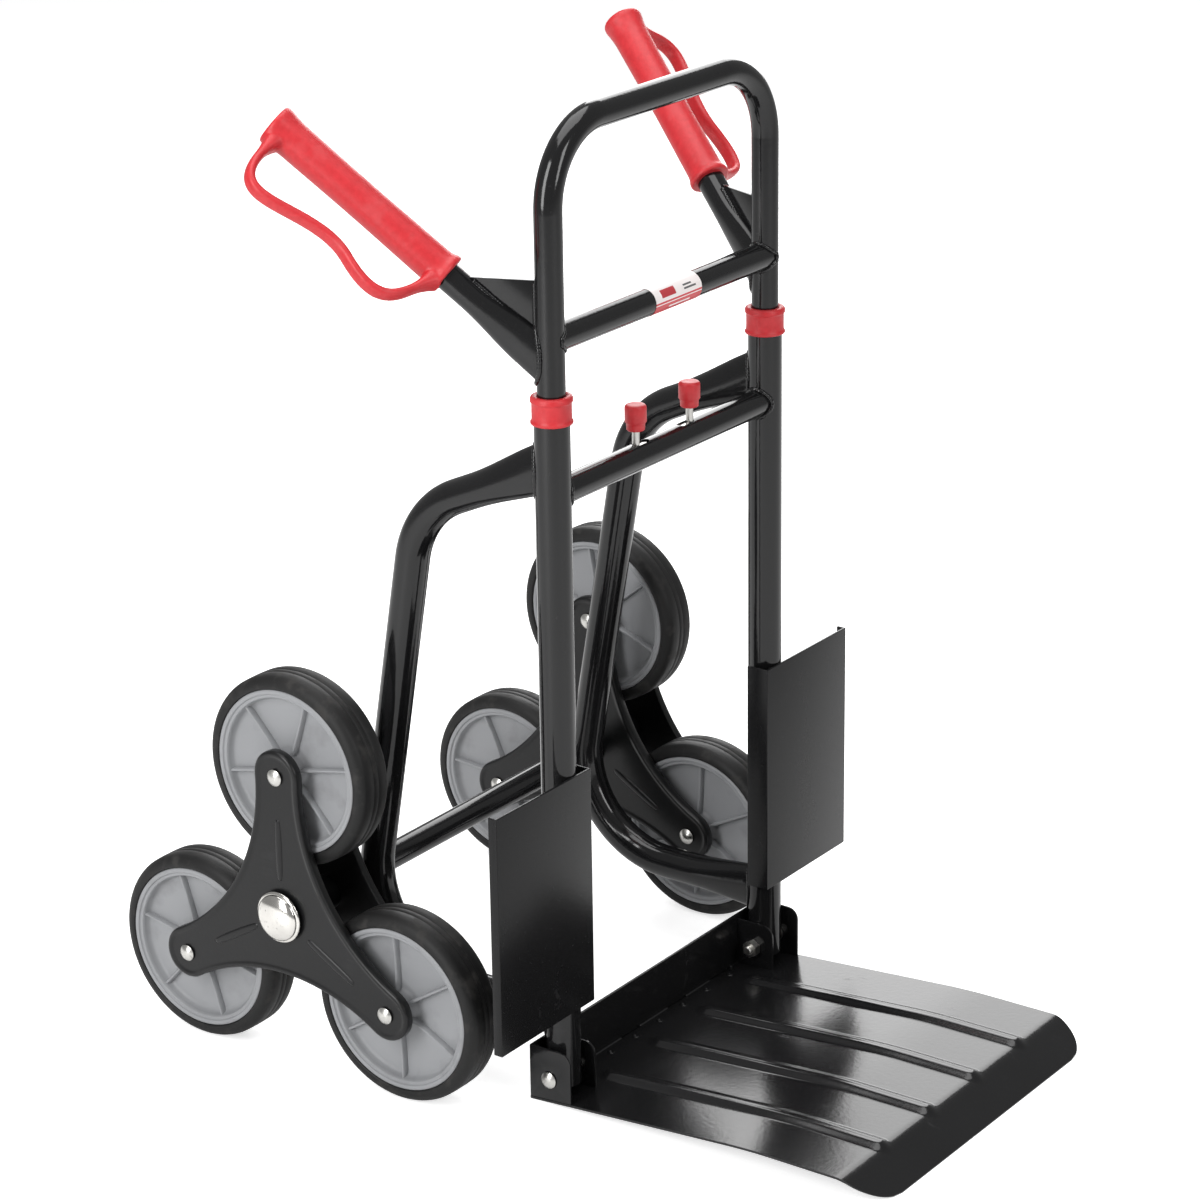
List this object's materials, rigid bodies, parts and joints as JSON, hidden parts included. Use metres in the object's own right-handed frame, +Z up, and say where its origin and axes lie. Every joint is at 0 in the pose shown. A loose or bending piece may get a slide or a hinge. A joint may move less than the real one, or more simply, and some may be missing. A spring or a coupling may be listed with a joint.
{
  "type": "stair climbing hand truck",
  "caption": "Upright hand truck with three-armed wheel stars for stairs, a telescopic handle with two splayed grips and a folding toe plate.",
  "frame": {"origin": "on the floor under the middle of the whole truck", "axes": "+Z up; -Y the way the toe plate points; +X towards the right-hand star for someone who stands in front of the toe plate and looks along +Y"},
  "size_m": [0.5578, 0.701, 0.8],
  "materials": {
    "gloss_black": "gloss",
    "satin_black": "satin",
    "black_plastic": "satin",
    "red_plastic": "satin",
    "grey_plastic": "satin",
    "rubber": "matte",
    "zinc": "satin",
    "bright_cap": "polished",
    "label": "satin"
  },
  "bodies": {
    "frame": {"lower_crossbar": "gloss_black", "crossbar_stop": "black_plastic", "axle_tube": "gloss_black", "axle_rod": "zinc", "axle_caps": "bright_cap", "upright_feet": "black_plastic", "hinge_bolts": "zinc", "hinge_spacers": "zinc", "hinge_nuts": "zinc", "left_upright": "gloss_black", "left_rear_tube": "gloss_black", "left_side_plate": "gloss_black", "left_collar": "red_plastic", "right_upright": "gloss_black", "right_rear_tube": "gloss_black", "right_side_plate": "gloss_black", "right_collar": "red_plastic"},
    "handle": {"handle_loop": "gloss_black", "upper_crossbar": "gloss_black", "label": "label", "leg_glides": "black_plastic", "left_stub": "gloss_black", "left_gusset": "gloss_black", "left_grip": "red_plastic", "right_stub": "gloss_black", "right_gusset": "gloss_black", "right_grip": "red_plastic"},
    "toe_plate": {"toe_deck": "gloss_black", "toe_upstand": "gloss_black", "left_inner_ear": "gloss_black", "right_inner_ear": "gloss_black"},
    "left_lock": {"left_lock_pin": "zinc", "left_lock_knob": "red_plastic", "left_lock_spring": "zinc"},
    "left_star": {"left_star_outer": "satin_black", "left_star_inner": "satin_black", "left_star_hub": "satin_black", "left_rivets": "zinc", "left_sleeves": "zinc"},
    "left_top_roll": {"left_top_tyre": "rubber", "left_top_wheel": "grey_plastic"},
    "left_front_roll": {"left_front_tyre": "rubber", "left_front_wheel": "grey_plastic"},
    "left_rear_roll": {"left_rear_tyre": "rubber", "left_rear_wheel": "grey_plastic"},
    "right_lock": {"right_lock_pin": "zinc", "right_lock_knob": "red_plastic", "right_lock_spring": "zinc"},
    "right_star": {"right_star_outer": "satin_black", "right_star_inner": "satin_black", "right_star_hub": "satin_black", "right_rivets": "zinc", "right_sleeves": "zinc"},
    "right_top_roll": {"right_top_tyre": "rubber", "right_top_wheel": "grey_plastic"},
    "right_front_roll": {"right_front_tyre": "rubber", "right_front_wheel": "grey_plastic"},
    "right_rear_roll": {"right_rear_tyre": "rubber", "right_rear_wheel": "grey_plastic"}
  },
  "joints": [
    {"name": "handle_slide", "type": "slide", "parent": "frame", "child": "handle", "axis": [0, 0, 1], "range_m": [0, 0.3]},
    {"name": "toe_fold", "type": "hinge", "parent": "frame", "child": "toe_plate", "pos_m": [0, -0.04246, 0.0215], "axis": [-1, 0, 0], "range_deg": [0, 85]},
    {"name": "left_lock_slide", "type": "slide", "parent": "frame", "child": "left_lock", "axis": [1, 0, 0], "range_m": [0, 0.012], "stiffness_N_per_m": 400, "springref_m": -0.006, "deforming": ["left_lock_spring"]},
    {"name": "left_star_turn", "type": "hinge", "parent": "frame", "child": "left_star", "pos_m": [-0.21175, 0.16654, 0.14], "axis": [1, 0, 0], "continuous": true},
    {"name": "left_top_turn", "type": "hinge", "parent": "left_star", "child": "left_top_roll", "pos_m": [-0.21175, 0.16654, 0.26], "axis": [1, 0, 0], "continuous": true},
    {"name": "left_front_turn", "type": "hinge", "parent": "left_star", "child": "left_front_roll", "pos_m": [-0.21175, 0.06262, 0.08], "axis": [1, 0, 0], "continuous": true},
    {"name": "left_rear_turn", "type": "hinge", "parent": "left_star", "child": "left_rear_roll", "pos_m": [-0.21175, 0.27046, 0.08], "axis": [1, 0, 0], "continuous": true},
    {"name": "right_lock_slide", "type": "slide", "parent": "frame", "child": "right_lock", "axis": [-1, 0, 0], "range_m": [0, 0.012], "stiffness_N_per_m": 400, "springref_m": -0.006, "deforming": ["right_lock_spring"]},
    {"name": "right_star_turn", "type": "hinge", "parent": "frame", "child": "right_star", "pos_m": [0.21175, 0.16654, 0.14], "axis": [1, 0, 0], "continuous": true},
    {"name": "right_top_turn", "type": "hinge", "parent": "right_star", "child": "right_top_roll", "pos_m": [0.21175, 0.16654, 0.26], "axis": [1, 0, 0], "continuous": true},
    {"name": "right_front_turn", "type": "hinge", "parent": "right_star", "child": "right_front_roll", "pos_m": [0.21175, 0.06262, 0.08], "axis": [1, 0, 0], "continuous": true},
    {"name": "right_rear_turn", "type": "hinge", "parent": "right_star", "child": "right_rear_roll", "pos_m": [0.21175, 0.27046, 0.08], "axis": [1, 0, 0], "continuous": true}
  ]
}
